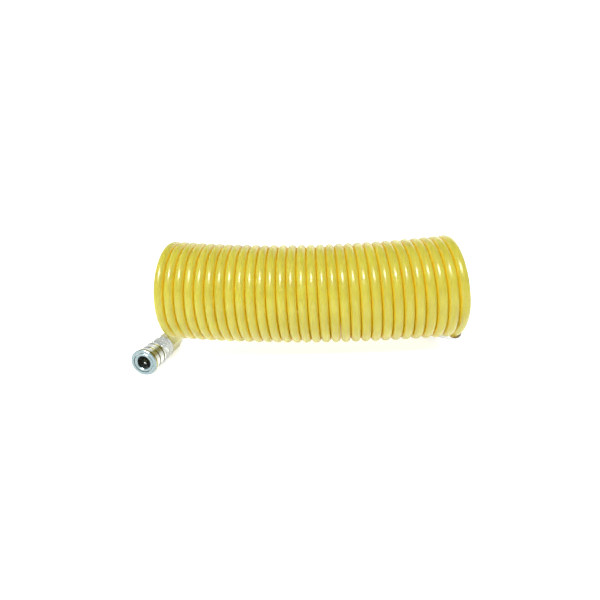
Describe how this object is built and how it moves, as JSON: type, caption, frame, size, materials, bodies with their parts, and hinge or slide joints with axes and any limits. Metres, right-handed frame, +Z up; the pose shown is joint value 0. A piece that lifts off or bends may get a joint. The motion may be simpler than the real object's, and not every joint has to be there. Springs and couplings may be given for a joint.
{
  "type": "recoil air hose",
  "caption": "Coiled compressed-air hose with a sleeve-type quick coupler at one end and a push-in plug at the other, both on swivels.",
  "frame": {"origin": "on the surface that the object lies on, under the middle of its whole length and depth", "axes": "+X along the coil from the coupler's end to the plug's end, +Y to the back, away from the coupler's mouth, +Z up"},
  "size_m": [0.2884, 0.1451, 0.109],
  "materials": {
    "hose": "clear yellow nylon, extruded, glossy and slightly translucent",
    "zinc_plated_steel": "bright zinc plate over turned steel",
    "spring_steel": "drawn and plated spring wire",
    "ball_steel": "polished bearing balls",
    "brass": "turned",
    "seal_rubber": "moulded nitrile, matt"
  },
  "bodies": {
    "hose": {"hose_coil": "hose", "hose_tail_coupler": "hose", "coupler_stem": "brass", "coupler_ferrule": "zinc_plated_steel", "coupler_guard": "spring_steel", "coupler_swivel_seal": "seal_rubber", "coupler_swivel_clip": "spring_steel"},
    "coupler": {"coupler_body": "zinc_plated_steel", "coupler_adapter": "zinc_plated_steel", "body_joint_seal": "seal_rubber", "plug_seal": "seal_rubber", "sleeve_retaining_ring": "spring_steel", "coupler_swivel_body": "zinc_plated_steel", "sleeve_spring": "spring_steel", "valve_spring": "spring_steel"},
    "sleeve": {"coupler_sleeve": "zinc_plated_steel"},
    "ball_1": {"locking_ball_1": "ball_steel"},
    "ball_2": {"locking_ball_2": "ball_steel"},
    "ball_3": {"locking_ball_3": "ball_steel"},
    "ball_4": {"locking_ball_4": "ball_steel"},
    "poppet": {"valve_poppet": "brass", "valve_seal": "seal_rubber"},
    "plug_end": {"hose_tail_plug": "hose", "plug_stem": "brass", "plug_ferrule": "zinc_plated_steel", "plug_guard": "spring_steel", "plug_swivel_seal": "seal_rubber", "plug_swivel_clip": "spring_steel"},
    "plug": {"male_plug": "zinc_plated_steel", "plug_swivel_body": "zinc_plated_steel"}
  },
  "joints": [
    {"name": "coupler_swivel", "type": "hinge", "parent": "hose", "child": "coupler", "pos_m": [-0.12718, -0.00705, 0.01017], "axis": [0.0854, 0.9958, -0.0318], "continuous": true},
    {"name": "sleeve_slide", "type": "slide", "parent": "coupler", "child": "sleeve", "axis": [0.0854, 0.9958, -0.0318], "range_m": [0, 0.0038], "stiffness_N_per_m": 2500, "springref_m": -0.004, "deforming": ["sleeve_spring"]},
    {"name": "valve_slide", "type": "slide", "parent": "coupler", "child": "poppet", "axis": [0.0854, 0.9958, -0.0318], "range_m": [0, 0.003], "stiffness_N_per_m": 1200, "springref_m": -0.004, "deforming": ["valve_spring"]},
    {"name": "hose_stretch", "type": "slide", "parent": "hose", "child": "plug_end", "axis": [1, 0, 0], "range_m": [0, 2], "stiffness_N_per_m": 3.2, "springref_m": -0.3, "deforming": ["hose_coil"]},
    {"name": "plug_swivel", "type": "hinge", "parent": "plug_end", "child": "plug", "pos_m": [0.12843, 0.01055, 0.00838], "axis": [0.1733, -0.9831, -0.0597], "continuous": true},
    {"name": "ball_1_slide", "type": "slide", "parent": "coupler", "child": "ball_1", "axis": [-0.7026, 0.0828, 0.7068], "range_m": [0, 0.00095]},
    {"name": "ball_2_slide", "type": "slide", "parent": "coupler", "child": "ball_2", "axis": [0.7064, -0.038, 0.7068], "range_m": [0, 0.00095]},
    {"name": "ball_3_slide", "type": "slide", "parent": "coupler", "child": "ball_3", "axis": [0.7026, -0.0828, -0.7068], "range_m": [0, 0.00095]},
    {"name": "ball_4_slide", "type": "slide", "parent": "coupler", "child": "ball_4", "axis": [-0.7064, 0.038, -0.7068], "range_m": [0, 0.00095]}
  ],
  "couplings": [
    {"joint": "ball_1_slide", "follows": "sleeve_slide", "ratio": 0.25},
    {"joint": "ball_2_slide", "follows": "sleeve_slide", "ratio": 0.25},
    {"joint": "ball_3_slide", "follows": "sleeve_slide", "ratio": 0.25},
    {"joint": "ball_4_slide", "follows": "sleeve_slide", "ratio": 0.25}
  ]
}
